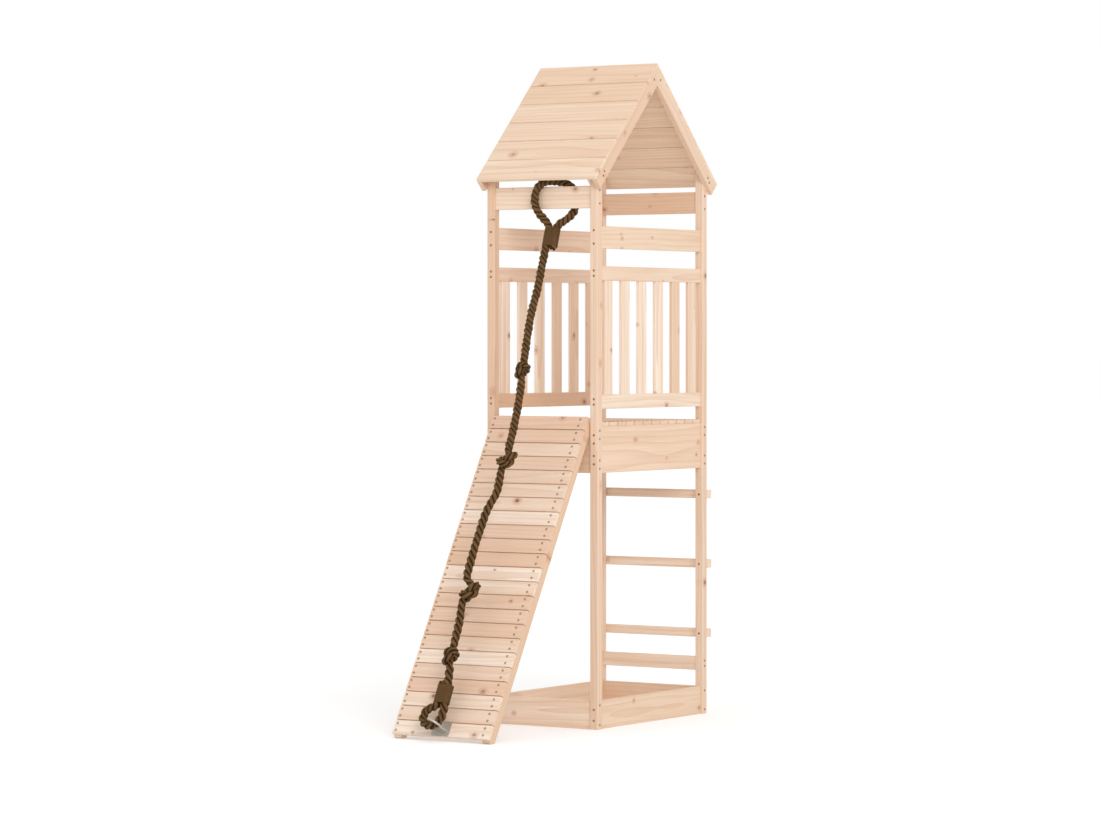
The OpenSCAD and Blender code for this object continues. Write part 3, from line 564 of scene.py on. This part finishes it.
# From the foot up: the route's point where a knot is tied, its turn about the rope, and its size.
knots = []
for number, spin, knot_size in ((24, 200, 16 * MM), (20, 110, 19 * MM), (12, 110, 18 * MM),
                                (7, 200, 15 * MM)):
    middle_of_knot = main_route[number]
    way = (main_route[number + 1] - main_route[number - 1]).normalized()
    frame_x = (ALONG_X - way * way.x).normalized()
    turn = Matrix((frame_x, way.cross(frame_x), way)).transposed()
    turn = turn @ Matrix.Rotation(math.radians(spin), 3, "Z")
    main_route[number:number + 1] = [middle_of_knot + turn @ Vector(p) * knot_size for p in WHOLE_KNOT]
    knots.append((middle_of_knot, knot_size))
main_line = smooth_route(main_route, ROPE_STEP)
climbing_rope = laid_rope("climbing_rope_laid", main_line, knots)
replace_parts(climbing_rope, "climbing_rope")

top_eye_line = smooth_route([tower_point(p) for p in (
    (21, -324.5, 1564), (21, -322, 1572), (16, -326, 1588), (5, -333, 1604), (-8, -341, 1622),
    (-18, -344, 1644), (-20, -344, 1668), (-15, -343, 1690), (-5, -340, 1708), (12, -332, 1719),
    (38, -320, 1720), (62, -310.6, 1717.5), (84, -300.6, 1707.5), (98, -296, 1690), (103, -295, 1668),
    (103, -296, 1645), (97, -299, 1624), (84, -305, 1607), (68, -313, 1594), (54, -319, 1584),
    (47, -322, 1572), (47, -324.5, 1564))], ROPE_STEP)
top_eye = laid_rope("rope_top_eye_laid", top_eye_line)
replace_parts(top_eye, "rope_top_eye")

bottom_eye_line = smooth_route([tower_point(p) for p in (
    (-5, -901, 122.6), (-5, -904.6, 115.4), (-11, -907, 107.5), (-22, -906, 103.5), (-34, -907, 99.5),
    (-44, -910.5, 90.5), (-48.5, -915.5, 79), (-47, -921.5, 66.5), (-39.5, -927, 56.5),
    (-27.5, -930.5, 50.8), (-13.5, -931.3, 49.5), (0, -928.7, 54), (10.5, -923.4, 63.2), (17, -917.4, 76.5),
    (20, -912.3, 91.5), (21, -907.9, 105.1), (21, -904.6, 115.4), (21, -901, 122.6))], ROPE_STEP)
bottom_eye = laid_rope("rope_bottom_eye_laid", bottom_eye_line)
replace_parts(bottom_eye, "rope_bottom_eye")

# Rope tails: the cut ends of the two eyes, which stick out of their sleeves beside the main rope.
top_tail = laid_rope("rope_top_tail_laid", smooth_route([tower_point(p) for p in (
    (47, -338, 1525), (47.5, -342, 1513), (48, -344, 1507))], ROPE_STEP))
bottom_tail = laid_rope("rope_bottom_tail_laid", smooth_route([tower_point(p) for p in (
    (-5, -883, 160), (-5.5, -877, 173), (-6, -874, 179))], ROPE_STEP))

# Rope sleeves: flat tubes of brown moulded plastic, pressed over the two parts of the rope where
# an eye closes. Their mouths are open and their rims are rounded.
SLEEVE_W, SLEEVE_T, SLEEVE_L = 54 * MM, 29 * MM, 60 * MM
# The rounded edges stop just short of meeting on the narrow sides, and the slivers left there are merged.
FLAT_LEFT, MERGE_UNDER = 0.1 * MM, 0.3 * MM
SLEEVE_WALL, MOUTH_LEAN, MOUTH_DEPTH, RIM_R = 2.2 * MM, 0.3 * MM, 6 * MM, 1.0 * MM

# Moulded plastic: matt, with a fine orange-peel skin about 1.5 mm across, rougher on its high spots, and
# a slight change of tone over about 25 mm.
moulded_plastic, tree, shader = new_material("brown_moulded_plastic")
place = add(tree, "TexCoord", {})["Object"]
skin = add(tree, "TexNoise", {"Vector": place, "Scale": 650, "Detail": 2})[0]
cloud = add(tree, "TexNoise", {"Vector": place, "Scale": 1 / (25 * MM), "Detail": 2})[0]
tint = add(tree, "Mix", {0: cloud, 6: linear("#4D330F"), 7: linear("#5D4019")}, data_type="RGBA")[2]
tree.links.new(tint, shader.inputs["Base Color"])
shader.inputs["Specular IOR Level"].default_value = 0.3
rough = add(tree, "MapRange", {0: skin, 1: 0.3, 2: 0.7, 3: 0.62, 4: 0.78})[0]
tree.links.new(rough, shader.inputs["Roughness"])
bump = add(tree, "Bump", {"Height": skin, "Distance": 0.2 * MM, "Strength": 0.4})[0]
tree.links.new(bump, shader.inputs["Normal"])


def rope_sleeve(name, at, lean):
    """A sleeve with its middle at a point from the tower's axis, leaning back by some degrees."""
    shape = bmesh.new()
    bmesh.ops.create_cube(shape, size=1)
    bmesh.ops.scale(shape, vec=(SLEEVE_W, SLEEVE_T, SLEEVE_L), verts=shape.verts)
    corners = [e for e in shape.edges if abs(e.verts[0].co.z - e.verts[1].co.z) > SLEEVE_L / 2]
    bmesh.ops.bevel(shape, geom=corners, offset=SLEEVE_T / 2 - FLAT_LEFT, segments=8, profile=0.5,
                    affect="EDGES", material=-1)
    bmesh.ops.remove_doubles(shape, verts=shape.verts, dist=MERGE_UNDER)
    mouths = [f for f in shape.faces if abs(f.normal.z) > 0.9]
    bmesh.ops.inset_individual(shape, faces=mouths, thickness=SLEEVE_WALL)
    bmesh.ops.inset_individual(shape, faces=mouths, thickness=MOUTH_LEAN, depth=-MOUTH_DEPTH)
    rims = [e for e in shape.edges if len(e.link_faces) == 2 and e.calc_face_angle() > 0.9]
    bmesh.ops.bevel(shape, geom=rims, offset=RIM_R, segments=3, profile=0.5, affect="EDGES", material=-1)
    bmesh.ops.rotate(shape, matrix=Matrix.Rotation(-math.radians(lean), 3, "X"), verts=shape.verts)
    bmesh.ops.translate(shape, vec=tower_point(at), verts=shape.verts)
    mesh = finished_mesh(name, shape)
    mesh.shade_smooth()
    mesh.set_sharp_from_angle(angle=math.radians(40))
    return new_piece(name, mesh, moulded_plastic)


top_sleeve = rope_sleeve("rope_top_sleeve_moulded", (34, -332, 1543), 18)
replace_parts(top_sleeve, "rope_top_sleeve")
bottom_sleeve = rope_sleeve("rope_bottom_sleeve_moulded", (8, -891.3, 142.8), 26)
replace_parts(bottom_sleeve, "rope_bottom_sleeve")

# Studio: a plain white floor that keeps the soft shadow, white surroundings, and one large soft lamp
# from the right front. The camera stands where the photograph was taken from.
FLOOR_HALF = 60
floor_shape = bmesh.new()
bmesh.ops.create_grid(floor_shape, x_segments=1, y_segments=1, size=FLOOR_HALF)
floor_mesh = finished_mesh("studio_floor", floor_shape)
floor = bpy.data.objects.new("studio_floor", floor_mesh)
bpy.context.scene.collection.objects.link(floor)
white_paper, tree, shader = new_material("white_studio_paper")
shader.inputs["Base Color"].default_value = linear("#F6F6F6")
shader.inputs["Roughness"].default_value = 0.9
shader.inputs["Specular IOR Level"].default_value = 0.1
shader.inputs["Emission Color"].default_value = (1, 1, 1, 1)
# Away from the lamp's reach the paper would go grey to the eye, so it is lifted there, and less near
# the part. Only the camera's rays see this, and no light comes of it.
away = add(tree, "VectorMath", {0: add(tree, "TexCoord", {})["Object"]}, operation="LENGTH")["Value"]
lift = add(tree, "MapRange", {0: away, 1: 1.2, 2: 3.5, 3: 0.18, 4: 0.28})[0]
seen = add(tree, "LightPath", {})["Is Camera Ray"]
seen = add(tree, "Math", {0: seen, 1: lift}, operation="MULTIPLY")[0]
tree.links.new(seen, shader.inputs["Emission Strength"])
floor_mesh.materials.append(white_paper)

world = bpy.data.worlds.new("white_surroundings")
bpy.context.scene.world = world
world.use_nodes = True
tree = world.node_tree
ray = add(tree, "LightPath", {})
seen = add(tree, "Math", {0: ray["Is Camera Ray"], 1: ray["Is Glossy Ray"]}, operation="MAXIMUM")[0]
seen = add(tree, "Math", {0: seen, 1: ray["Is Transmission Ray"]}, operation="MAXIMUM")[0]
strength = add(tree, "MapRange", {0: seen, 1: 0, 2: 1, 3: 0.82, 4: 1})[0]
tree.links.new(strength, tree.nodes["Background"].inputs["Strength"])
tree.nodes["Background"].inputs["Color"].default_value = (1, 1, 1, 1)

lamp = bpy.data.lights.new("soft_box", "AREA")
lamp.shape = "RECTANGLE"
LAMP_SIDE, LAMP_WATTS = 3.5, 205
lamp.size, lamp.size_y = LAMP_SIDE, LAMP_SIDE
lamp.energy = LAMP_WATTS
soft_box = bpy.data.objects.new("soft_box", lamp)
soft_box.location = (5.2, -4.6, 4.6)
LAMP_AIM = Vector((0, 0, 1))
soft_box.rotation_euler = (LAMP_AIM - soft_box.location).to_track_quat("-Z", "Y").to_euler()
bpy.context.scene.collection.objects.link(soft_box)

view = bpy.data.cameras.new("photo_view")
view.lens = 129.85
view.sensor_width = 36
view.shift_y = -0.0648
view.clip_end = 200
camera = bpy.data.objects.new("photo_view", view)
camera.location = (6.8549, -10.8183 + tower_y, 1.218)
camera.rotation_euler = Euler((math.radians(90), 0, math.radians(33.06)))
bpy.context.scene.collection.objects.link(camera)
bpy.context.scene.camera = camera
bpy.context.scene.view_settings.view_transform = "Standard"

bpy.context.view_layer.update()
